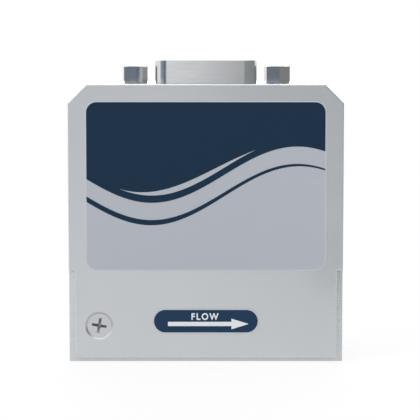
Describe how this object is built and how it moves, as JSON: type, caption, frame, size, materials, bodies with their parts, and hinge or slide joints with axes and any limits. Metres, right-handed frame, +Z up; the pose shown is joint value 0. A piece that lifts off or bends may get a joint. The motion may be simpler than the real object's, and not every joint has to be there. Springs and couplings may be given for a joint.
{
  "type": "gas mass flow controller",
  "caption": "Compact gas mass flow meter and controller: machined flow block with threaded ports, thermal sensor and solenoid control valve under a thin metal hood with a D connector on top.",
  "frame": {"origin": "middle of the underside of the flow block, on the plane it stands on", "axes": "+X along the gas flow towards the outlet, +Y towards the rear (the front with the labels faces -Y), +Z up towards the connector"},
  "size_m": [0.047, 0.0251, 0.0518],
  "materials": {
    "anodised_aluminium": "satin silver anodised",
    "machined_aluminium": "machined and anodised silver",
    "stainless_steel": "turned, bright",
    "magnetic_steel": "turned, plain",
    "tinned_steel": "drawn and tin plated",
    "nickel_plated_steel": "nickel plated",
    "label_film": "printed polyester film, satin",
    "black_moulding": "moulded",
    "gold_plated_brass": "gold plated",
    "plain_brass": "turned",
    "enamelled_copper": "wound enamelled copper wire",
    "seal_rubber": "moulded, matt",
    "circuit_board": "solder masked glass laminate",
    "chip_package": "moulded",
    "capacitor_can": "drawn can"
  },
  "bodies": {
    "housing": {"board_posts": "plain_brass", "board_screws": "stainless_steel", "capacitors": "capacitor_can", "coil_bobbin": "black_moulding", "coil_terminals": "gold_plated_brass", "coil_winding": "enamelled_copper", "connector_insulator": "black_moulding", "connector_pins": "gold_plated_brass", "connector_rear_shell": "tinned_steel", "connector_shell": "tinned_steel", "connector_spacers": "stainless_steel", "core_nut": "stainless_steel", "cover": "anodised_aluminium", "cover_screws": "stainless_steel", "driver_chips": "chip_package", "fixed_core": "magnetic_steel", "flow_block": "machined_aluminium", "flow_element": "stainless_steel", "flow_label": "label_film", "front_label": "label_film", "guide_tube": "stainless_steel", "header_contacts": "gold_plated_brass", "header_socket": "black_moulding", "inlet_screen": "stainless_steel", "jack_posts": "nickel_plated_steel", "main_board": "circuit_board", "processor": "chip_package", "return_spring": "stainless_steel", "screen_ring": "stainless_steel", "sensor_board": "circuit_board", "sensor_chip": "chip_package", "sensor_clamp": "stainless_steel", "sensor_clamp_screws": "stainless_steel", "sensor_gasket": "seal_rubber", "sensor_header": "black_moulding", "tube_seal": "seal_rubber", "valve_clamp": "stainless_steel", "valve_clamp_screws": "stainless_steel", "valve_seat": "plain_brass", "valve_yoke": "magnetic_steel"},
    "plunger": {"plunger": "magnetic_steel", "seat_pad": "seal_rubber"}
  },
  "joints": [
    {"name": "valve_lift", "type": "slide", "parent": "housing", "child": "plunger", "axis": [0, 0, 1], "range_m": [0, 0.0004], "stiffness_N_per_m": 600, "springref_m": -0.0015, "deforming": ["return_spring"]}
  ]
}
